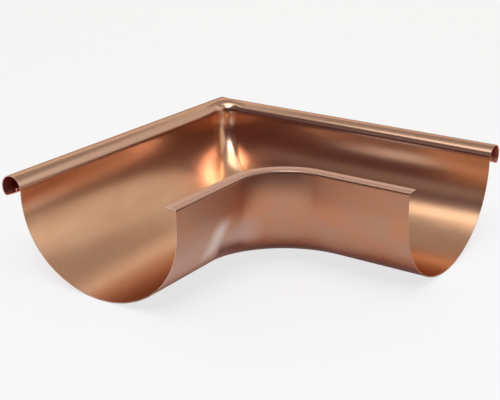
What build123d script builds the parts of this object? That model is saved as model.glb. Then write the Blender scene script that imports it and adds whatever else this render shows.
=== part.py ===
"""Outside corner of a half-round gutter, drawn in one piece from copper sheet. Millimetres, +Z up."""

from math import cos, pi, radians, sin, tan
import os

from build123d import *

# The sheet
sheet = 0.7                   # thickness
# The half-round trough, measured to its inner face
half_width = 76.5             # from the middle to the wall at the rim line
wall_drop = 3.7               # straight wall below the rim line
shoulder_across = 10.0        # from the middle to the centre of the shoulder's round
bottom_turn = 31.3            # degrees of the flatter bottom round, each way from the middle
# The two legs and the bend between them
leg = 197.8                   # from the crossing of the middle lines to each cut end
bend_radius = 118.0           # of the middle line, round the inner corner
wall_corner_radius = 15.0     # of the outer wall, seen from above
corner_fade = 3               # how fast the bottom's wide bend tightens up the wall
# The rolled bead along the outer wall
bead_radius = 10.3            # outside, centred level with the rim line
bead_turn = 138.0             # degrees of roll past the crest
chord_length = 13.0           # of the flat underside
chord_rise = 22.0             # degrees that the underside climbs towards the wall
chord_bend_radius = 1.5       # between the roll and the flat underside
lip_height = 3.5              # of the turned-up edge inside the bead
crest_corner_radius = 0.3     # of the crest line, where the roll is mitred
# The water fold along the inner wall
wall_rise = 16.5              # from the rim line to the top of the fold
fold_width = 10.0             # from the wall's outer face to the fold's edge
fold_radius = 2.0             # outside
# Plan outlines that the corner is drawn through
trough_steps = 28
flank_steps = 12

# The bottom's arc runs into the two shoulders without a kink
shoulder_radius = half_width - shoulder_across
bottom_radius = shoulder_radius + shoulder_across / sin(radians(bottom_turn))
bottom_height = shoulder_across / tan(radians(bottom_turn)) - wall_drop
depth = bottom_radius - bottom_height

# The box stands on z = 0 and is centred on the origin
reach = half_width + 2 * bead_radius
inset = (leg - reach) / 2
rim_line = depth + sheet
crossing = Vector(-inset, inset, rim_line)
diagonal = Plane(origin=crossing, x_dir=(0, 0, 1), z_dir=(1, 1, 0))
end_plane = Plane(origin=crossing + Vector(leg, 0, 0), x_dir=(0, 1, 0), z_dir=(1, 0, 0))


def trough_point(turn, gap):
    """Distance from the middle and height of the skin that lies gap outside the inner face."""
    if turn < radians(bottom_turn):
        across, height, radius = 0, bottom_height, bottom_radius + gap
    else:
        across, height, radius = shoulder_across, -wall_drop, shoulder_radius + gap
    return across + radius * sin(turn), height - radius * cos(turn)


def trough_corner(turn):
    """Plan radius of the corner on the inner face: wide at the bottom, tight up the wall."""
    across = trough_point(turn, 0)[0]
    slack = (1 - across / half_width) ** corner_fade
    return wall_corner_radius + (bend_radius - wall_corner_radius) * slack


def plan_outline(across, height, radius):
    """Plan at one height: both cut ends, and the outer wall of both legs with its corner rounded."""
    centre = radius - across
    with BuildSketch(Plane(origin=crossing + Vector(0, 0, height))) as area:
        with BuildLine():
            wall = Line((leg, across), (centre, across))
            corner = CenterArc((centre, -centre), radius, 90, 90)
            Polyline(corner @ 1, (-across, -leg), (leg, -leg), wall @ 0)
        make_face()
    return area.sketch


def trough_outlines(gap):
    """Plans of the trough, from its bottom up to the straight wall."""
    outlines = []
    for step in range(trough_steps + 1):
        turn = pi / 2 * step / trough_steps
        across, height = trough_point(turn, gap)
        outlines.append(plan_outline(across, height, trough_corner(turn) + gap * sin(turn)))
    return outlines


def flank_outlines(gap):
    """Plans of the bead's inner flank, from the rim line up to its crest."""
    outlines = []
    radius = bead_radius - gap
    for step in range(flank_steps + 1):
        turn = pi / 2 * step / flank_steps
        across = half_width + bead_radius - radius * cos(turn)
        corner = wall_corner_radius + (crest_corner_radius - wall_corner_radius) * step / flank_steps
        outlines.append(plan_outline(across, radius * sin(turn), corner + gap * cos(turn)))
    return outlines


# The outer half of both legs and of the corner: the outside of the sheet, less the inside
with BuildPart() as outer_wall:
    loft(trough_outlines(sheet))
    extrude(outer_wall.faces().sort_by(Axis.Z)[-1], amount=wall_drop)
    loft(flank_outlines(sheet))
    extrude(outer_wall.faces().sort_by(Axis.Z)[-1], amount=sheet)

with BuildPart() as hollow:
    loft(trough_outlines(0))
    extrude(hollow.faces().sort_by(Axis.Z)[-1], amount=wall_drop)
    loft(flank_outlines(0))
    inner_half = plan_outline(0, -rim_line, bend_radius)
    extrude(inner_half, amount=2 * rim_line)

# The inner half, one section all along the legs and round the bend
with BuildPart() as inner_wall:
    with BuildSketch(end_plane):
        with BuildLine():
            wall_middle = half_width + sheet / 2
            fold_middle = wall_rise - sheet / 2
            shoulder_start = -90 - bottom_turn
            CenterArc((0, bottom_height), bottom_radius + sheet / 2, -90, -bottom_turn)
            CenterArc(
                (-shoulder_across, -wall_drop), shoulder_radius + sheet / 2, shoulder_start, bottom_turn - 90
            )
            FilletPolyline(
                (-wall_middle, -wall_drop),
                (-wall_middle, fold_middle),
                (fold_width - sheet - half_width, fold_middle),
                radius=fold_radius - sheet / 2,
            )
        trace(line_width=sheet)
    with BuildLine(Plane(origin=crossing)) as middle_line:
        Line((leg, 0), (bend_radius, 0))
        CenterArc((bend_radius, -bend_radius), bend_radius, 90, 90)
        Line((0, -bend_radius), (0, -leg))
    sweep(path=middle_line.wire())

# The bead beyond its crest, mitred at the corner
with BuildPart() as bead:
    with BuildSketch(end_plane):
        with BuildLine() as roll_middle:
            roll = CenterArc((half_width + bead_radius, 0), bead_radius - sheet / 2, 90, -bead_turn)
            chord = PolarLine(roll @ 1, chord_length, 180 - chord_rise)
            Line(chord @ 1, chord @ 1 + Vector(0, lip_height))
            fillet(roll_middle.vertices().sort_by(Axis.Y)[0], radius=chord_bend_radius)
        trace(line_width=sheet)
    extrude(amount=-leg - reach)
    split(bisect_by=diagonal)
    mirror(about=diagonal)

with BuildPart() as gutter_corner:
    add(outer_wall.part)
    add(hollow.part, mode=Mode.SUBTRACT)
    add(inner_wall.part)
    add(bead.part)

gutter_corner.part.label = "gutter_corner"
os.makedirs("parts", exist_ok=True)
export_step(gutter_corner.part, "parts/gutter_corner.step")
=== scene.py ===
# %% [markdown]
# Outside corner of a half-round copper gutter
#
# The real thing is one piece of copper sheet, drawn into a right-angled channel in a deep press. Its outer
# rim is rolled into a bead that ends in a mitre at the corner, and its inner rim is folded in. The packed
# CAD model fixes the size and the place. It could be dressed as it is, but its facets would show in bright
# metal. So this script redraws the same sheet as a dense mesh, adds the small marks of the press, and
# gives it bare copper.

# %% Load the frame
from functools import partial, reduce
import math
import bpy
import numpy as np
from mathutils import Matrix, Vector


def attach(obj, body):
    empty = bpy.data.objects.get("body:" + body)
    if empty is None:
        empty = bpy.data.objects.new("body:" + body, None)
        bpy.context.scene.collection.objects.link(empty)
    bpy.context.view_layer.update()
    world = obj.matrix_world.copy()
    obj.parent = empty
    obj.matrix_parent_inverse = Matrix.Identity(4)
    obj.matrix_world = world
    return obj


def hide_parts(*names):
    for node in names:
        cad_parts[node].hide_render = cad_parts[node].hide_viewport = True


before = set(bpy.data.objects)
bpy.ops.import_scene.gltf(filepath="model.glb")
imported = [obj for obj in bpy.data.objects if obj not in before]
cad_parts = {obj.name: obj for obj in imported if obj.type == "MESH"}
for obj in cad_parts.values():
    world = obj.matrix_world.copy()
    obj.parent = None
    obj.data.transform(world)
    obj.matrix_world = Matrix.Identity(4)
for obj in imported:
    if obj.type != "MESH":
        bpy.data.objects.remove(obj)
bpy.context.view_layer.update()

# %% [markdown]
# The section
#
# A gutter is drawn first as a section: the line that the sheet follows from the edge of the inner fold,
# down the inner wall, through the half-round trough, up the outer wall and round the bead. It could be a
# free curve, but the maker's tools leave straights and arcs, so the script uses those. All sizes are in
# millimetres, with x running outward from the middle of the trough and z up from the rim line.

# %% Sizes of the sheet
SHEET = 0.7                   # thickness
HALF_WIDTH = 76.5             # from the middle to the wall's water side
WALL_DROP = 3.7               # straight wall below the rim line
SHOULDER_ACROSS = 10.0        # from the middle to the centre of the shoulder's round
BOTTOM_TURN = 31.3            # degrees of the flatter bottom round, each way from the middle
BEAD_RADIUS = 10.3            # outside
LEG = 197.8                   # from the crossing of the middle lines to each cut end

shoulder_radius = HALF_WIDTH - SHOULDER_ACROSS
bottom_radius = shoulder_radius + SHOULDER_ACROSS / math.sin(math.radians(BOTTOM_TURN))
bottom_height = SHOULDER_ACROSS / math.tan(math.radians(BOTTOM_TURN)) - WALL_DROP
inset = (LEG - HALF_WIDTH - 2 * BEAD_RADIUS) / 2
rim_line = bottom_radius - bottom_height + SHEET
half = SHEET / 2
wall = HALF_WIDTH + half
print("bottom radius", round(bottom_radius, 2), "mm, rim line", round(rim_line, 2), "mm up")

# %% [markdown]
# Two strokes draw the whole line, a straight and an arc. Each adds points to one list, and every point
# remembers the direction that faces the water side, so that the sheet's two skins can be set half a
# thickness to either side. The last number of a stroke is its count of points.

# %% Strokes of the middle line
middle_line = []


def straight(start, end, steps):
    """Points along a straight run; the water side lies to the left of the way it runs."""
    start, along = Vector(start), Vector(end) - Vector(start)
    facing = Vector((-along.y, along.x)).normalized()
    for step in range(steps):
        middle_line.append((start + along * (step / steps), facing))


def arc(centre, radius, first, last, steps, facing_in=True):
    """Points round an arc, in degrees from the outward direction."""
    for step in range(steps):
        angle = math.radians(first + (last - first) * step / steps)
        out = Vector((math.cos(angle), math.sin(angle)))
        middle_line.append((Vector(centre) + out * radius, -out if facing_in else out))


print("strokes ready: straight and arc")

# %% [markdown]
# The inner rim is folded in, so that water can't creep over it. The folding bar leaves a small round,
# tighter than a hand bend would be. The points stand closer there, because the marks of the press will
# need them.

# %% Water fold and inner wall
WALL_RISE = 16.5              # from the rim line to the top of the fold
FOLD_WIDTH = 10.0             # from the wall's outer face to the fold's edge
FOLD_RADIUS = 1.2             # outside
FINE_LEVEL = 12.9             # the points stand close above this

fold_level = WALL_RISE - half
fold_bend = FOLD_RADIUS - half
fold_edge = HALF_WIDTH + SHEET - FOLD_WIDTH
straight((-fold_edge, fold_level), (-wall + fold_bend, fold_level), 24)
arc((-wall + fold_bend, fold_level - fold_bend), fold_bend, 90, 180, 12)
straight((-wall, fold_level - fold_bend), (-wall, FINE_LEVEL), 16)
straight((-wall, FINE_LEVEL), (-wall, -WALL_DROP), 24)
print(len(middle_line), "points down to the trough")

# %% [markdown]
# The trough is a little flatter at its bottom than a half circle, so it is three arcs that meet without a
# kink.

# %% Trough and outer wall
arc((-SHOULDER_ACROSS, -WALL_DROP), shoulder_radius + half, 180, 270 - BOTTOM_TURN, 26)
arc((0, bottom_height), bottom_radius + half, 270 - BOTTOM_TURN, 270 + BOTTOM_TURN, 28)
arc((SHOULDER_ACROSS, -WALL_DROP), shoulder_radius + half, 270 + BOTTOM_TURN, 360, 30)
straight((wall, -WALL_DROP), (wall, 0), 3)
print(len(middle_line), "points up to the rim line")

# %% [markdown]
# The bead stiffens the outer rim. It rolls outward and down, and its end turns into a flat underside with
# a small lip, hidden inside. The roll's last point makes way for a soft bend into the flat.

# %% Bead
BEAD_TURN = 138.0             # degrees of roll past the crest
UNDERSIDE = 13.0              # length of the flat
UNDERSIDE_RISE = 22.0         # degrees that the flat climbs towards the wall
LIP_HEIGHT = 3.5
ROLL_BEND = 1.2               # of the flat given up to the bend from the roll
LIP_BEND = 0.4                # of the flat and of the lip given up to the bend between them

roll_centre = Vector((HALF_WIDTH + BEAD_RADIUS, 0))
roll_radius = BEAD_RADIUS - half
last_angle = 90 - BEAD_TURN
arc(roll_centre, roll_radius, 180, last_angle, 56, facing_in=False)
middle_line.pop()

roll_way = Vector((math.cos(math.radians(last_angle)), math.sin(math.radians(last_angle))))
flat_way = Vector((-math.cos(math.radians(UNDERSIDE_RISE)), math.sin(math.radians(UNDERSIDE_RISE))))
roll_end = roll_centre + roll_way * roll_radius
flat_end = roll_end + flat_way * UNDERSIDE
lip_top = flat_end + Vector((0, LIP_HEIGHT))
straight(roll_end + flat_way * ROLL_BEND, flat_end - flat_way * LIP_BEND, 8)
straight(flat_end + Vector((0, LIP_BEND)), lip_top, 4)
middle_line.append((lip_top, Vector((-1, 0))))
print("bead ends at", [round(v, 2) for v in lip_top], "mm")


# %% [markdown]
# The rule of the corner
#
# Seen from above, every point of the section runs along both legs and turns the corner on an arc. On the
# inner half all arcs share one centre. On the outer half the arc starts as wide as the bottom's and
# tightens up the wall, and along the bead it shrinks to a mitre. A drawn corner could be sculpted, but one
# number per point, the corner's radius, is the whole shape, and it stays smooth.

# %% Corner radius for each point
BEND_RADIUS = 118.0           # of the trough's middle
WALL_CORNER_RADIUS = 15.0     # of the outer wall, on its water side
WALL_FADE = 3                 # how fast the wide bend tightens up the wall
MITRE_RADIUS = 0.4            # along the bead
MITRE_FADE = 2.2              # how late the bead's inner flank closes to the mitre
TOUCH = 0.01                  # a point this near to a level or a face is on it


def corner_radius(point, facing):
    """Plan radius of the corner at one point of the middle line."""
    if point.x <= 0:
        return BEND_RADIUS + point.x
    if point.y <= TOUCH and point.x <= wall + TOUCH:
        slack = (1 - min((point.x + half * facing.x) / HALF_WIDTH, 1)) ** WALL_FADE
        return WALL_CORNER_RADIUS + (BEND_RADIUS - WALL_CORNER_RADIUS) * slack - half * facing.x
    if point.y > 0 and point.x < roll_centre.x:
        climbed = math.atan2(point.y, roll_centre.x - point.x) / (math.pi / 2)
        closing = (WALL_CORNER_RADIUS - MITRE_RADIUS) * climbed**MITRE_FADE
        return WALL_CORNER_RADIUS - closing + half * (1 - climbed)
    return MITRE_RADIUS


corners = [corner_radius(point, facing) for point, facing in middle_line]
print("corner radii from", round(max(corners), 1), "to", round(min(corners), 1), "mm")

# %% [markdown]
# The press leaves three fine marks. Under the fold the wall is nipped in by a narrow neck, a shallow
# crease runs along the top of the fold, and right at the corner the bead's inner flank swells. Bump in the
# material would give the shading alone, so each mark is a share between 0 and 1 that will move the points
# themselves.

# %% Shares of the press marks
NECK_LEVEL = 14.9
NECK_REACH = 0.8              # each way from the neck's middle
CREASE_FROM_WALL = 3.1
CREASE_REACH = 1.1
SWELL_FALL = 0.7              # how fast the swell dies away past the middle of the flank


def hollow_at(distance, reach):
    """A smooth dip, one at its middle and nothing beyond its reach."""
    return max(0.0, 1 - (distance / reach) ** 2) ** 2


def press_marks(point):
    """Shares of the neck, the crease and the bead's swell at one point."""
    neck = crease = swell = 0.0
    if point.x < -wall + TOUCH:
        neck = hollow_at(point.y - NECK_LEVEL, NECK_REACH)
    if point.y > fold_level - TOUCH:
        crease = hollow_at(point.x + wall - CREASE_FROM_WALL, CREASE_REACH)
    if point.y > 0 and point.x > wall - TOUCH:
        climbed = math.atan2(point.y, roll_centre.x - point.x) / (math.pi / 4)
        swell = math.sin(climbed * math.pi / 2) if climbed < 1 else 1 - SWELL_FALL * (climbed - 1) ** 2
    return neck, crease, max(swell, 0.0)


marks = [press_marks(point) for point, facing in middle_line]
print(sum(1 for mark in marks if any(mark)), "points carry a mark")

# %% [markdown]
# The two skins make one closed loop: out along the water side and back along the other. It is a small mesh
# of edges only, because a mesh can hand its points' numbers to Geometry Nodes as attributes, which a
# curve's bevel can't.

# %% The closed section loop
POINT_NUMBERS = ("offset", "height", "corner", "run", "side", "neck", "crease", "swell")
SHARPEST = 0.03               # smallest radius that a skin's corner may have


def section_loop():
    """Edges-only mesh of both skins; every point carries its numbers, lengths in metres."""
    runs = [0.0]
    for (before, _), (point, _) in zip(middle_line, middle_line[1:]):
        runs.append(runs[-1] + (point - before).length)
    rows = []
    for side in (1, -1):
        for index in range(len(middle_line))[::side]:
            point, facing = middle_line[index]
            skin = point + facing * (half * side)
            radius = max(corners[index] + facing.x * half * side, SHARPEST)
            lengths = [length / 1000 for length in (skin.x, skin.y, radius, runs[index])]
            rows.append((*lengths, float(side), *marks[index]))
    count = len(rows)
    mesh = bpy.data.meshes.new("section_loop")
    mesh.from_pydata([(row[0], 0, row[1]) for row in rows], [(i, (i + 1) % count) for i in range(count)], [])
    for column, name in enumerate(POINT_NUMBERS):
        values = mesh.attributes.new(name, "FLOAT", "POINT")
        values.data.foreach_set("value", [row[column] for row in rows])
    return mesh


sheet_piece = bpy.data.objects.new("section_loop", section_loop())
bpy.context.scene.collection.objects.link(sheet_piece)
print(len(sheet_piece.data.vertices), "points in the loop")

# %% [markdown]
# Helpers for node trees
#
# Node trees are easier to read when a step is one line. A node is added with its settings and its inputs,
# and an input takes either a plain value or another node's output. The geometry and the copper both use
# these.

# %% Helpers for node trees
def feed(tree, slot, value):
    """Link an output into an input, or set the input to a plain value."""
    if isinstance(value, bpy.types.NodeSocket):
        tree.links.new(value, slot)
    else:
        slot.default_value = value


def add_node(tree, kind, inputs=None, **settings):
    """A node of this kind with its settings; inputs are named, or numbered where names repeat."""
    made = tree.nodes.new(kind)
    for key, value in settings.items():
        setattr(made, key, value)
    for key, value in (inputs or {}).items():
        feed(tree, made.inputs[key], value)
    return made


def calculate(tree, operation, *values, clamp=False):
    """One Math node on outputs or numbers; returns its result."""
    made = add_node(tree, "ShaderNodeMath", dict(enumerate(values)), operation=operation, use_clamp=clamp)
    return made.outputs[0]


def step_up(tree, value, low, high):
    """Smooth step from 0 at low to 1 at high; high may be the smaller."""
    made = add_node(tree, "ShaderNodeMapRange", {"Value": value, "From Min": low, "From Max": high},
                    interpolation_type="SMOOTHSTEP")
    return made.outputs["Result"]


def node_group(name, kind, inputs, outputs):
    """An empty node group with named sockets; returns the tree, what enters it and what leaves it."""
    tree = bpy.data.node_groups.new(name, kind)
    for way, sockets in (("INPUT", inputs), ("OUTPUT", outputs)):
        for socket, socket_kind in sockets.items():
            tree.interface.new_socket(socket, in_out=way, socket_type=socket_kind)
    return tree, tree.nodes.new("NodeGroupInput").outputs, tree.nodes.new("NodeGroupOutput").inputs


print("helpers ready: feed, add_node, calculate, step_up and node_group")

# %% [markdown]
# Sweeping the section round the corner
#
# A plain sweep along a bent path would turn every point on the same centre, which only the inner half
# does. So Geometry Nodes sweep along a straight line of stations, which makes the grid of faces and the
# two cut ends, and then put each vertex in its real place by the rule. A station counts from -2 at one cut
# end to 2 at the other, and the bend lies between -1 and 1.

# %% The line of stations
FLOAT, WHOLE, GEOMETRY = "NodeSocketFloat", "NodeSocketInt", "NodeSocketGeometry"
sweep, given, leaving = node_group("sweep_round_corner", "GeometryNodeTree", {
    "Geometry": GEOMETRY, "Leg": FLOAT, "Leg Steps": WHOLE, "Corner Steps": WHOLE, "Inset": FLOAT,
    "Rim Height": FLOAT, "Leg Neck": FLOAT, "Bend Neck": FLOAT, "Leg Crease": FLOAT, "Bend Crease": FLOAT,
    "Corner Swell": FLOAT, "Finish": "NodeSocketMaterial"}, {"Geometry": GEOMETRY})
add, subtract, multiply, divide, bigger, smaller, multiply_add = (
    partial(calculate, sweep, operation)
    for operation in ("ADD", "SUBTRACT", "MULTIPLY", "DIVIDE", "MAXIMUM", "MINIMUM", "MULTIPLY_ADD"))

leg_steps, corner_steps = given["Leg Steps"], given["Corner Steps"]
station_count = add(add(multiply(leg_steps, 2), corner_steps), 1)
line = add_node(sweep, "GeometryNodeCurvePrimitiveLine")
stations = add_node(sweep, "GeometryNodeResampleCurve",
                    {"Curve": line.outputs["Curve"], "Count": station_count}, mode="COUNT")
index = add_node(sweep, "GeometryNodeInputIndex").outputs[0]
past_leg = subtract(index, leg_steps)
first_leg = divide(index, leg_steps, clamp=True)
turning = divide(past_leg, corner_steps, clamp=True)
last_leg = divide(subtract(past_leg, corner_steps), leg_steps, clamp=True)
station = multiply_add(turning, 2, subtract(add(first_leg, last_leg), 2))
numbered = add_node(sweep, "GeometryNodeStoreNamedAttribute",
                    {"Geometry": stations.outputs["Curve"], "Name": "station", "Value": station},
                    data_type="FLOAT", domain="POINT")
print(len(sweep.nodes), "nodes for the stations")

# %% [markdown]
# The loop is turned into a curve and swept along the stations. Curve to Mesh carries the attributes of
# both curves on to the mesh, so every vertex knows its station and its numbers from the section.

# %% The raw sweep
def number_from(name):
    """A named number that the geometry carries."""
    made = add_node(sweep, "GeometryNodeInputNamedAttribute", {"Name": name}, data_type="FLOAT")
    return made.outputs["Attribute"]


profile = add_node(sweep, "GeometryNodeMeshToCurve", {"Mesh": given["Geometry"]})
tube = add_node(sweep, "GeometryNodeCurveToMesh",
                {"Curve": numbered.outputs["Geometry"], "Profile Curve": profile.outputs["Curve"],
                 "Fill Caps": True})
here = number_from("station")
print(len(sweep.nodes), "nodes with the raw sweep")

# %% [markdown]
# On the real sheet the neck is deep along the straight legs and almost drawn flat round the bend, and the
# crease is a little deeper on the legs too. The two depths blend where the bend runs out.

# %% Neck and crease in the tree
BEND_RUNS_OUT = (0.93, 1.03)  # in stations
legs_only = step_up(sweep, calculate(sweep, "ABSOLUTE", here), *BEND_RUNS_OUT)


def between(on_bend, on_legs):
    """A depth that changes from the bend to the legs; both are sockets of the tree."""
    return multiply_add(legs_only, subtract(on_legs, on_bend), on_bend)


pressed = multiply(number_from("neck"), between(given["Bend Neck"], given["Leg Neck"]))
lowered = multiply(number_from("crease"), between(given["Bend Crease"], given["Leg Crease"]))
across = add(number_from("offset"), pressed)
radius = add(number_from("corner"), pressed)
height = subtract(add(number_from("height"), given["Rim Height"]), lowered)
print(len(sweep.nodes), "nodes with the press marks")

# %% [markdown]
# The rule itself: between the stations -1 and 1 a vertex swings a quarter turn round its own centre, and
# past them it runs straight on. The stations crowd towards the bend, where the shape changes most. The
# length that a vertex has come along the gutter is kept, for the swell here and for the copper later.

# %% Arc and straight
QUARTER = math.pi / 2
CROWDING = 1.5                # 1 would spread the stations of a leg evenly
swing = smaller(bigger(here, -1), 1)
angle = multiply_add(swing, -QUARTER / 2, QUARTER * 1.5)
centre = subtract(radius, across)
straight_left = subtract(given["Leg"], centre)
past_bend = bigger(subtract(here, 1), 0)
before_bend = bigger(subtract(-1, here), 0)
run_x = multiply(calculate(sweep, "POWER", past_bend, CROWDING), straight_left)
run_y = multiply(calculate(sweep, "POWER", before_bend, CROWDING), straight_left)
round_bend = multiply(multiply(swing, QUARTER / 2), radius)
length_along = add(subtract(run_x, run_y), round_bend)
print(len(sweep.nodes), "nodes with the rule")

# %% [markdown]
# The swing gives a vertex its place on the arc, and the two runs carry it out along +X or -Y. The swell of
# the bead is added to the height before that, fading out along both legs.

# %% Put each vertex in its place
SWELL_LENGTH = 0.024          # metres along the gutter, each way from the corner
near_corner = step_up(sweep, calculate(sweep, "ABSOLUTE", length_along), SWELL_LENGTH, 0.0)
height = add(height, multiply(multiply(number_from("swell"), given["Corner Swell"]), near_corner))
x = multiply_add(calculate(sweep, "COSINE", angle), radius, centre)
y = subtract(multiply(calculate(sweep, "SINE", angle), radius), centre)
x = subtract(add(x, run_x), given["Inset"])
y = add(subtract(y, run_y), given["Inset"])
place = add_node(sweep, "ShaderNodeCombineXYZ", {"X": x, "Y": y, "Z": height})
put = add_node(sweep, "GeometryNodeSetPosition",
               {"Geometry": tube.outputs["Mesh"], "Position": place.outputs[0]})
print(len(sweep.nodes), "nodes with the places")

# %% [markdown]
# The grain of rolled copper runs along the gutter, so the material needs to know how far along the gutter
# and how far round the section each point lies. Unwrapping could give that roughly, but the tree knows it
# exactly and stores the pair as the sheet's UV map, in metres. Smooth shading and the material come
# last.

# %% The sheet's own map, and the end of the tree
pair = add_node(sweep, "ShaderNodeCombineXYZ", {"X": length_along, "Y": number_from("run")})
mapped = add_node(sweep, "GeometryNodeStoreNamedAttribute",
                  {"Geometry": put.outputs["Geometry"], "Name": "sheet_map", "Value": pair.outputs[0]},
                  data_type="FLOAT2", domain="CORNER")
smooth = add_node(sweep, "GeometryNodeSetShadeSmooth", {"Geometry": mapped.outputs["Geometry"]})
realised = add_node(sweep, "GeometryNodeRealizeInstances", {"Geometry": smooth.outputs["Geometry"]})
finished = add_node(sweep, "GeometryNodeSetMaterial",
                    {"Geometry": realised.outputs["Geometry"], "Material": given["Finish"]})
feed(sweep, leaving["Geometry"], finished.outputs["Geometry"])
print(len(sweep.nodes), "nodes in the whole sweep")

# %% [markdown]
# Bare copper
#
# Rolled copper is satin: it mirrors its surroundings softly. Handling and air leave warmer and browner
# clouds in it. A picture of metal would freeze one room's reflections into it, so the copper is made of
# noise on the sheet's own map. Two node groups hold the clouds and the grain, so that another piece of
# copper could use them.

# %% Tarnish clouds
def stretched_noise(tree, place_on_sheet, scale, detail):
    """Noise with one scale along the gutter and another across it; returns its value."""
    mapping = add_node(tree, "ShaderNodeMapping", {"Vector": place_on_sheet, "Scale": scale})
    noise = add_node(tree, "ShaderNodeTexNoise",
                     {"Vector": mapping.outputs["Vector"], "Scale": 1.0, "Detail": detail})
    return noise.outputs["Fac"]


WIDE_CLOUDS = (9, 14, 1)      # scale along the gutter and across it
SMALL_CLOUDS = (26, 40, 1)
SMALL_SHARE = 0.45
CLOUD_EDGE = (0.40, 0.62)     # noise below is clear metal, above is full cloud

clouds, clouds_in, clouds_out = node_group(
    "tarnish_clouds", "ShaderNodeTree", {"Place": "NodeSocketVector", "Amount": FLOAT}, {"Mask": FLOAT})
wide = stretched_noise(clouds, clouds_in["Place"], WIDE_CLOUDS, 3)
small = stretched_noise(clouds, clouds_in["Place"], SMALL_CLOUDS, 2)
wide = calculate(clouds, "MULTIPLY", wide, 1 - SMALL_SHARE)
drift = calculate(clouds, "MULTIPLY_ADD", small, SMALL_SHARE, wide)
cleared = add_node(clouds, "ShaderNodeMapRange",
                   {"Value": drift, "From Min": CLOUD_EDGE[0], "From Max": CLOUD_EDGE[1]})
mask = calculate(clouds, "MULTIPLY", cleared.outputs["Result"], clouds_in["Amount"])
feed(clouds, clouds_out["Mask"], mask)
print(len(clouds.nodes), "nodes in the clouds")

# %% [markdown]
# The mill's rolls leave two kinds of unevenness: hair-fine lines along the sheet, too shallow to see one
# by one, and long low waves that make the reflections wander a little.

# %% Rolling grain
FINE_LINES = (12, 900, 1)     # scale along the gutter and across it
LONG_WAVES = (6, 26, 1)
FINE_SHARE = 0.0006           # depth of the fine lines against the waves

grain, grain_in, grain_out = node_group(
    "rolling_grain", "ShaderNodeTree", {"Place": "NodeSocketVector", "Depth": FLOAT},
    {"Height": FLOAT, "Fine": FLOAT})
fine = stretched_noise(grain, grain_in["Place"], FINE_LINES, 2)
waves = stretched_noise(grain, grain_in["Place"], LONG_WAVES, 2)
both = calculate(grain, "MULTIPLY_ADD", fine, FINE_SHARE, waves)
feed(grain, grain_out["Height"], calculate(grain, "MULTIPLY", both, grain_in["Depth"]))
feed(grain, grain_out["Fine"], fine)
print(len(grain.nodes), "nodes in the grain")

# %% [markdown]
# The material is a metal with its highlight drawn out a little along the gutter. The darker specular tint
# holds back the pale rim that a clean metal gets where it turns away from the eye, because handled copper
# has none.

# %% The copper shader
EDGE_TINT = (0.74, 0.53, 0.47, 1)
HIGHLIGHT_PULL = 0.3          # how far the highlight is drawn out

copper = bpy.data.materials.new("copper")
copper.use_nodes = True
metal = copper.node_tree
metal.nodes.clear()
tangent = add_node(metal, "ShaderNodeTangent", direction_type="UV_MAP", uv_map="sheet_map")
surface = add_node(metal, "ShaderNodeBsdfPrincipled",
                   {"Metallic": 1.0, "Anisotropic": HIGHLIGHT_PULL, "Specular Tint": EDGE_TINT,
                    "Tangent": tangent.outputs["Tangent"]})
add_node(metal, "ShaderNodeOutputMaterial", {"Surface": surface.outputs[0]})

sheet_map = add_node(metal, "ShaderNodeUVMap", uv_map="sheet_map").outputs[0]
mottle = add_node(metal, "ShaderNodeGroup", {"Place": sheet_map, "Amount": 1.0}, node_tree=clouds)
lines = add_node(metal, "ShaderNodeGroup", {"Place": sheet_map, "Depth": 1.0}, node_tree=grain)
print(len(metal.nodes), "nodes to start the copper")

# %% [markdown]
# The sheet isn't one colour all over. Its water side is bright, its outer skin has been through the dies
# and many hands and carries painted shade and reflections, and each rim has its own tone with painted
# highlights and shade. Painting that by hand would need a picture. Here every patch is a mask made of two
# distances in millimetres: along the gutter from the corner, negative on the left leg, and round the
# section from the fold's edge.

# %% Places on the sheet
SKIN_EDGE = 0.3               # the side runs from 1 on the water side to -1 outside
OUTSIDE_STARTS = (8.8, 10.5)  # on the fold's rounding; the whole flat counts as water side


def number_on_sheet(name):
    """A named number that the sheet's points carry."""
    return add_node(metal, "ShaderNodeAttribute", attribute_name=name).outputs["Fac"]


def product(*factors):
    """Several masks multiplied."""
    return reduce(partial(calculate, metal, "MULTIPLY"), factors)


def band(value, rise, fall):
    """A mask that rises between two values and falls between two others."""
    return product(step_up(metal, value, *rise), step_up(metal, value, *fall))


def blend(share, first, second):
    """Mix of two colours, each an output or a plain colour."""
    colours = [colour + (1,) if isinstance(colour, tuple) else colour for colour in (first, second)]
    made = add_node(metal, "ShaderNodeMix", data_type="RGBA")
    for key, value in zip(("Factor", "A", "B"), (share, *colours)):
        feed(metal, made.inputs[key], value)
    return made.outputs["Result"]


round_section = product(number_on_sheet("run"), 1000.0)
along_gutter = product(add_node(metal, "ShaderNodeSeparateXYZ", {0: sheet_map}).outputs["X"], 1000.0)
from_corner = calculate(metal, "ABSOLUTE", along_gutter)
outside = step_up(metal, number_on_sheet("side"), SKIN_EDGE, -SKIN_EDGE)
on_outside = product(outside, step_up(metal, round_section, *OUTSIDE_STARTS))
print(len(metal.nodes), "nodes with the places")

# %% [markdown]
# The water side is the mill's bright face with warmer clouds. The fold is paler and pinker, a painted
# highlight, and the bead browner. Where the bead leaves the wall, painted shade draws a dark line, with a
# painted highlight along the bead's flank just above it.

# %% Colour of the water side
COPPER = (0.765, 0.475, 0.325)
WARM_COPPER = (0.72, 0.425, 0.28)
# painted shade: the dark line where the bead leaves the wall
JOINT_SHADE_LINE = (0.50, 0.285, 0.205)
# painted highlight along the bead's flank
BEAD_FLANK_HIGHLIGHT = (0.68, 0.45, 0.35)
BEAD_COPPER = (0.63, 0.41, 0.31)
# painted highlight on the fold
FOLD_HIGHLIGHT = (0.64, 0.45, 0.38)
RIM_TONES_AND_LIGHT = (                  # each colour, and where it fades in and is full
    (JOINT_SHADE_LINE, 262.5, 264.5),
    (BEAD_FLANK_HIGHLIGHT, 265.5, 267.5),
    (BEAD_COPPER, 270, 274),
    (FOLD_HIGHLIGHT, 14, 11),
)

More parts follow.
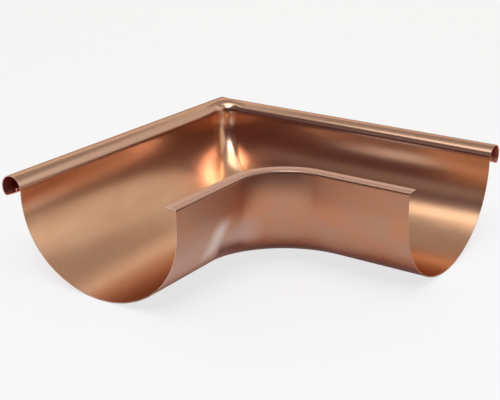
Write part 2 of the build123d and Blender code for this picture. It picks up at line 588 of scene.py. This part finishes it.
water_side = blend(mottle.outputs["Mask"], COPPER, WARM_COPPER)
for colour, *fades_in in RIM_TONES_AND_LIGHT:
    water_side = blend(step_up(metal, round_section, *fades_in), water_side, colour)
print(len(metal.nodes), "nodes with the water side")

# %% [markdown]
# The outer skin is browner, and down the section its colour is painted shade: it darkens to near black
# towards the belly. Past the belly it is brown again, and inside the bead a painted red glow stands for
# light that only gets there from copper to copper.

# %% Colour of the outer skin
SECTION_LENGTH = 280.0        # from the fold's edge into the bead
# painted shade down the outer skin, and a painted red glow inside the bead
OUTER_TONE_AND_SHADE = (             # distance round the section, and the colour there
    (14.0, (0.51, 0.235, 0.14)),
    (42.0, (0.56, 0.24, 0.13)),
    (64.4, (0.48, 0.205, 0.115)),
    (78.4, (0.27, 0.095, 0.06)),
    (92.4, (0.05, 0.012, 0.016)),
    (145.6, (0.05, 0.012, 0.016)),
    (184.8, (0.50, 0.24, 0.15)),
    (260.4, (0.42, 0.21, 0.135)),
    (266.0, (0.80, 0.36, 0.30)),
)
HANDLED = (0.45, 0.26, 0.185)
HANDLED_ROUND = (95, 60)      # full up to the second, gone past the first

down_section = add_node(metal, "ShaderNodeMapRange", {"Value": round_section, "From Max": SECTION_LENGTH})
skin_shade_ramp = add_node(metal, "ShaderNodeValToRGB", {"Fac": down_section.outputs["Result"]})
stops = skin_shade_ramp.color_ramp.elements
for distance, colour in OUTER_TONE_AND_SHADE:
    stops.new(distance / SECTION_LENGTH).color = colour + (1,)
stops.remove(stops[0])
stops.remove(stops[-1])
handled = product(mottle.outputs["Mask"], step_up(metal, round_section, *HANDLED_ROUND))
outer_skin = blend(handled, skin_shade_ramp.outputs["Color"], HANDLED)
print(len(stops), "colours down the outer skin")

# %% [markdown]
# A pale painted reflection lies on the left leg's outer skin. Below the fold, round the bend, painted shade
# makes the skin dark.

# %% Painted reflection and bend shade
# painted reflection: a pale patch on the left leg's outer skin
PALE_REFLECTION = (0.55, 0.385, 0.33)
PALE_REFLECTION_SHARE = 0.8
PALE_REFLECTION_ALONG = (-3, -28)
PALE_REFLECTION_ROUND = ((35, 60), (86, 66))
# painted shade below the fold, round the bend
BEND_SHADE = (0.15, 0.065, 0.042)
BEND_SHADE_ALONG = (42, 14)     # each way from the corner
BEND_SHADE_ROUND = (34, 10)

pale_reflection = product(step_up(metal, along_gutter, *PALE_REFLECTION_ALONG), band(round_section, *PALE_REFLECTION_ROUND), PALE_REFLECTION_SHARE)
outer_skin = blend(pale_reflection, outer_skin, PALE_REFLECTION)
bend_shade = product(step_up(metal, from_corner, *BEND_SHADE_ALONG),
                   step_up(metal, round_section, *BEND_SHADE_ROUND))
outer_skin = blend(bend_shade, outer_skin, BEND_SHADE)
print(len(metal.nodes), "nodes with the bloom")

# %% [markdown]
# A short pale painted highlight lies in the painted reflection, and beside it painted shade darkens the
# belly. Both lean, so each is measured from a slanting line: a distance along the gutter that shifts with
# the distance round the section.

# %% Painted highlight and belly shade
# painted highlight: a short pale streak on the left leg's outer skin
HIGHLIGHT_STREAK = (0.74, 0.66, 0.62)
STREAK_SHARE = 0.8
STREAK_START = 34.5              # from the corner to the mark's line, at the fold's edge
STREAK_LEAN = 0.55               # how much further for each millimetre round the section
STREAK_WIDTH = (15.5, 0)
STREAK_ROUND = ((31, 45), (76, 58))
# painted shade on the belly near the corner
BELLY_SHADE = (0.14, 0.045, 0.045)
BELLY_SHADE_ALONG = ((-61, -52), (-10, -30))
BELLY_SHADE_LEAN = -0.32
BELLY_SHADE_EDGE = (70, 88)
BELLY_SHADE_END = (150, 108)

streak_line = calculate(metal, "MULTIPLY_ADD", round_section, STREAK_LEAN, STREAK_START)
from_streak = calculate(metal, "ABSOLUTE", calculate(metal, "ADD", along_gutter, streak_line))
streak_highlight = product(step_up(metal, from_streak, *STREAK_WIDTH), band(round_section, *STREAK_ROUND), STREAK_SHARE)
outer_skin = blend(streak_highlight, outer_skin, HIGHLIGHT_STREAK)

belly_shade_line = calculate(metal, "MULTIPLY_ADD", along_gutter, BELLY_SHADE_LEAN, round_section)
belly_shade = product(band(along_gutter, *BELLY_SHADE_ALONG), step_up(metal, belly_shade_line, *BELLY_SHADE_EDGE),
               step_up(metal, round_section, *BELLY_SHADE_END))
outer_skin = blend(belly_shade, outer_skin, BELLY_SHADE)
print(len(metal.nodes), "nodes with the outer skin")

# %% [markdown]
# Painted shade lies in the neck under the fold. It draws the thin dark line that sets the fold off from
# the wall.

# %% Base colour
NECK_SHADE = (0.19, 0.095, 0.065)
NECK_SHADE_EDGE = (0.25, 0.9)       # shares of the neck where the painted shade begins and where it is full

bare = blend(on_outside, water_side, outer_skin)
neck_shade = step_up(metal, product(number_on_sheet("neck"), on_outside), *NECK_SHADE_EDGE)
feed(metal, surface.inputs["Base Color"], blend(neck_shade, bare, NECK_SHADE))
print(len(metal.nodes), "nodes with the base colour")

# %% [markdown]
# The outer skin is duller than the water side, since the dies have rubbed it. The waves of the grain are
# about a tenth of a millimetre deep at most, too shallow for the mesh, so they are bump.

# %% Roughness and relief
POLISH = (0.235, 0.265)       # roughness of the water side, from grain line to grain line
RUBBED = 0.15                 # added on the outer skin
WAVE_DEPTH = 0.00012          # metres

polish = add_node(metal, "ShaderNodeMapRange",
                  {"Value": lines.outputs["Fine"], "To Min": POLISH[0], "To Max": POLISH[1]})
feed(metal, surface.inputs["Roughness"],
     calculate(metal, "MULTIPLY_ADD", on_outside, RUBBED, polish.outputs["Result"]))
relief = add_node(metal, "ShaderNodeBump",
                  {"Strength": 1.0, "Distance": WAVE_DEPTH, "Height": lines.outputs["Height"]})
feed(metal, surface.inputs["Normal"], relief.outputs["Normal"])
print(len(metal.nodes), "nodes in the copper")

# %% [markdown]
# Baking the sheet
#
# The modifier's inputs are set before the object is first evaluated. Then the evaluated result becomes a
# plain mesh on a new object, and the section loop goes.

# %% Run the sweep
sizes = {
    "Leg": LEG / 1000,
    "Leg Steps": 40,
    "Corner Steps": 64,
    "Inset": inset / 1000,
    "Rim Height": rim_line / 1000,
    "Leg Neck": 0.0006,
    "Bend Neck": 0.00025,
    "Leg Crease": 0.00035,
    "Bend Crease": 0.0003,
    "Corner Swell": 0.0028,
    "Finish": copper,
}
modifier = sheet_piece.modifiers.new("sweep", "NODES")
modifier.node_group = sweep
for item in sweep.interface.items_tree:
    if item.in_out == "INPUT" and item.name in sizes:
        modifier[item.identifier] = sizes[item.name]
sheet_piece.update_tag()
bpy.context.view_layer.update()
evaluated = sheet_piece.evaluated_get(bpy.context.evaluated_depsgraph_get())
baked = bpy.data.meshes.new_from_object(evaluated)
gutter = bpy.data.objects.new("gutter_sheet", baked)
bpy.context.scene.collection.objects.link(gutter)
bpy.data.objects.remove(sheet_piece)
print(len(baked.vertices), "vertices,", len(baked.polygons), "faces")

# %% [markdown]
# A closed mesh encloses a positive volume when its faces point outward, so the volume tells whether the
# sweep came out inside out. The cut edges stay sharp, and the rest is shaded smooth.

# %% Faces outward, cut edges sharp
SHARP_ANGLE = 50              # degrees


def enclosed_volume(mesh):
    """Signed volume of a closed mesh, positive when its faces point outward."""
    mesh.calc_loop_triangles()
    corners_of = np.zeros(len(mesh.loop_triangles) * 3, np.int32)
    mesh.loop_triangles.foreach_get("vertices", corners_of)
    places = np.zeros(len(mesh.vertices) * 3)
    mesh.vertices.foreach_get("co", places)
    first, second, third = places.reshape(-1, 3)[corners_of.reshape(-1, 3)].transpose(1, 0, 2)
    return float((first * np.cross(second, third)).sum() / 6)


volume = enclosed_volume(baked)
if volume < 0:
    baked.flip_normals()
baked.set_sharp_from_angle(angle=math.radians(SHARP_ANGLE))
print("sheet volume", round(abs(volume) * 1e6, 2), "cm3")

# %% [markdown]
# The part has one body and one solid. The dense sheet rides on that body and stands for that solid, which
# stays behind for the physics.

# %% Tie the sheet to the CAD model
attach(gutter, "root")
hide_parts("gutter_corner")
print(gutter.name, "stands for gutter_corner")

# %% [markdown]
# The studio
#
# A pale floor fills the view. It stays matt and keeps the object's shadow, and a share of plain white,
# seen by the camera and in reflections alone, makes it near white without any more light on the copper.

# %% Floor
FLOOR_REACH = 4.0             # metres each way
PAPER = (0.86, 0.88, 0.95, 1)
WHITE_SHARE = 0.75

reach = (-FLOOR_REACH, FLOOR_REACH)
floor_mesh = bpy.data.meshes.new("floor")
floor_mesh.from_pydata([(x, y, 0) for y in reach for x in reach], [], [(0, 1, 3, 2)])
floor = bpy.data.objects.new("floor", floor_mesh)
bpy.context.scene.collection.objects.link(floor)

paper = bpy.data.materials.new("pale_floor")
paper.use_nodes = True
floor_tree = paper.node_tree
floor_tree.nodes.clear()
matt = add_node(floor_tree, "ShaderNodeBsdfDiffuse", {"Color": PAPER})
white = add_node(floor_tree, "ShaderNodeEmission")
ray = add_node(floor_tree, "ShaderNodeLightPath").outputs
mirrored = calculate(floor_tree, "MAXIMUM", ray["Is Glossy Ray"], ray["Is Transmission Ray"])
seen = calculate(floor_tree, "MAXIMUM", ray["Is Camera Ray"], mirrored)
white_seen = calculate(floor_tree, "MULTIPLY", seen, WHITE_SHARE)
mix = add_node(floor_tree, "ShaderNodeMixShader", {0: white_seen, 1: matt.outputs[0], 2: white.outputs[0]})
add_node(floor_tree, "ShaderNodeOutputMaterial", {"Surface": mix.outputs[0]})
floor_mesh.materials.append(paper)
print("floor", 2 * FLOOR_REACH, "m wide")

# %% [markdown]
# Metal shows its surroundings, so the room matters as much as the copper. Broad soft lamps all round give
# the long bright bands inside the trough, and the gaps between them give the brown ones. A small bright
# core in the key lamp makes the hot spot in the corner. Each lamp is placed as a photographer would say
# it: how far round, how high up and how far away. The lamps are slightly warm, and the core is cool.

# %% Lamps
CENTRE = (0, 0, 0.05)         # what the lamps point at, in metres
WARM = (1.0, 0.99, 0.85)
COOL = (1.0, 1.0, 1.1)


def toward(turn, rise, distance):
    """A place in the room: degrees from +X, degrees above the centre, metres away."""
    turn, rise = math.radians(turn), math.radians(rise)
    level = distance * math.cos(rise)
    return level * math.cos(turn), level * math.sin(turn), distance * math.sin(rise) + CENTRE[2]


def softbox(name, place, width, length, strength, aim=CENTRE, colour=WARM):
    """A rectangular soft lamp; strength is the brightness of its own face."""
    data = bpy.data.lights.new(name, "AREA")
    data.shape = "RECTANGLE"
    data.size = width
    data.size_y = length
    data.energy = strength * width * length * math.pi
    data.color = colour
    lamp = bpy.data.objects.new(name, data)
    lamp.location = place
    lamp.rotation_euler = (Vector(aim) - Vector(place)).to_track_quat("-Z", "Y").to_euler()
    bpy.context.scene.collection.objects.link(lamp)


softbox("key", toward(-65, 70, 1.6), 0.9, 1.1, 2.4)
softbox("key_core", toward(-58, 51, 1.55), 0.56, 0.45, 7.4, colour=COOL)
softbox("front_left", toward(-129, 61, 1.7), 0.65, 0.42, 1.75)
softbox("low_left", toward(-112, 28, 1.7), 0.8, 0.45, 0.22)
softbox("ceiling", (-0.3, 0.7, 1.9), 3.2, 2.4, 0.33, aim=(-0.3, 0.7, 0))
softbox("fill_right", toward(12, 25, 1.8), 1.8, 1.5, 0.8)
softbox("fill_back", toward(68, 23, 1.8), 1.8, 1.45, 0.63)
softbox("fill_back_left", toward(124, 26, 1.8), 1.8, 1.05, 0.92)
softbox("fill_left", toward(178, 36, 1.8), 1.7, 1.1, 0.74)
print(len(bpy.data.lights), "lamps")

# %% [markdown]
# Between the lamps the copper mirrors a dim, reddish room, as it would in a workshop with other copper
# about.

# %% Room
ROOM = (0.95, 0.36, 0.42, 1)
ROOM_STRENGTH = 0.085

world = bpy.data.worlds.new("room")
world.use_nodes = True
background = world.node_tree.nodes["Background"]
background.inputs["Color"].default_value = ROOM
background.inputs["Strength"].default_value = ROOM_STRENGTH
bpy.context.scene.world = world
print("room at", ROOM_STRENGTH)

# %% [markdown]
# The camera
#
# Its place and its lens were found by fitting the section's edges to the photograph. It could be aimed by
# a constraint, but three angles and one offset from the crossing of the two middle lines say exactly where
# it is.

# %% Camera
TURN, TILT, ROLL = 34.149, 20.279, -0.193
FROM_CROSSING = (4.6, -49.75, 953.4)   # millimetres right, up and back, as the camera sees it
FOCAL_LENGTH = 1077.441       # in pixels of the photograph
PHOTO_WIDTH = 500             # pixels
SENSOR_WIDTH = 36.0

camera_data = bpy.data.cameras.new("camera")
camera_data.sensor_fit = "HORIZONTAL"
camera_data.sensor_width = SENSOR_WIDTH
camera_data.lens = SENSOR_WIDTH * FOCAL_LENGTH / PHOTO_WIDTH
camera = bpy.data.objects.new("camera", camera_data)
axes = Matrix.Rotation(math.radians(TURN), 3, "Z") @ Matrix.Rotation(math.radians(90 - TILT), 3, "X")
axes = axes @ Matrix.Rotation(math.radians(ROLL), 3, "Z")
crossing = Vector((-inset, inset, rim_line))
camera.location = (crossing + axes @ Vector(FROM_CROSSING)) / 1000
camera.rotation_euler = axes.to_euler()
bpy.context.scene.collection.objects.link(camera)
bpy.context.scene.camera = camera
bpy.context.scene.view_settings.view_transform = "Standard"
print("camera at", [round(v, 3) for v in camera.location])

# %% [markdown]
# Finish
#
# The view layer is brought up to date at the end.

# %% Finish
bpy.context.view_layer.update()
